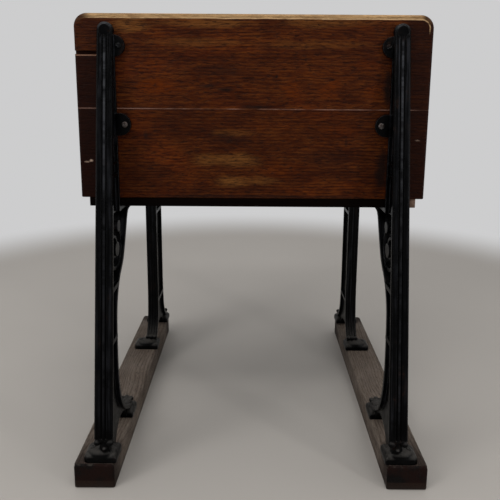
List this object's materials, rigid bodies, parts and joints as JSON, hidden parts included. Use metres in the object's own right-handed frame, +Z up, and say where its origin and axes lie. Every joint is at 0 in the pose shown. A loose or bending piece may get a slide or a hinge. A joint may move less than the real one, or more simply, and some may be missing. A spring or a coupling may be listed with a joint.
{
  "type": "school desk",
  "caption": "single school desk with a lift lid and inkwell, a wooden box on ornate cast-iron legs that stand on wooden runners",
  "frame": {"origin": "on the floor under the middle of the desk", "axes": "+Z up, +Y towards the pupil, +X towards the pupil's left hand; the tall back board faces -Y"},
  "size_m": [0.6, 0.61, 0.791],
  "materials": {
    "oak_board": "worn dark varnish over oak",
    "oak_batten": "bare sawn oak",
    "runner_wood": "weathered, unfinished",
    "leg_iron": "black japanned, worn",
    "hinge_brass": "tarnished",
    "pin_steel": "dull",
    "pot_glaze": "glazed earthenware"
  },
  "bodies": {
    "desk": {"back_board_lower": "oak_board", "back_board_upper": "oak_board", "bottom_board_front": "oak_board", "bottom_board_rear": "oak_board", "front_board": "oak_board", "front_leg_left": "leg_iron", "front_leg_right": "leg_iron", "hinge_ledge_leaf_left": "hinge_brass", "hinge_ledge_leaf_right": "hinge_brass", "hinge_pin_left": "pin_steel", "hinge_pin_right": "pin_steel", "rear_leg_left": "leg_iron", "rear_leg_right": "leg_iron", "runner_left": "runner_wood", "runner_right": "runner_wood", "side_panel_left": "oak_board", "side_panel_right": "oak_board", "top_ledge": "oak_board"},
    "lid": {"lid_board_rear": "oak_board", "lid_board_front": "oak_board", "lid_batten_left": "oak_batten", "lid_batten_right": "oak_batten", "hinge_lid_leaf_left": "hinge_brass", "hinge_lid_leaf_right": "hinge_brass"},
    "inkwell": {"inkwell_pot": "pot_glaze"}
  },
  "joints": [
    {"name": "lid_hinge", "type": "hinge", "parent": "desk", "child": "lid", "pos_m": [0, -0.07125, 0.771], "axis": [1, 0, 0], "range_deg": [0, 105]},
    {"name": "inkwell_lift", "type": "slide", "parent": "desk", "child": "inkwell", "axis": [0, 0, 1], "range_m": [0, 0.06]}
  ]
}
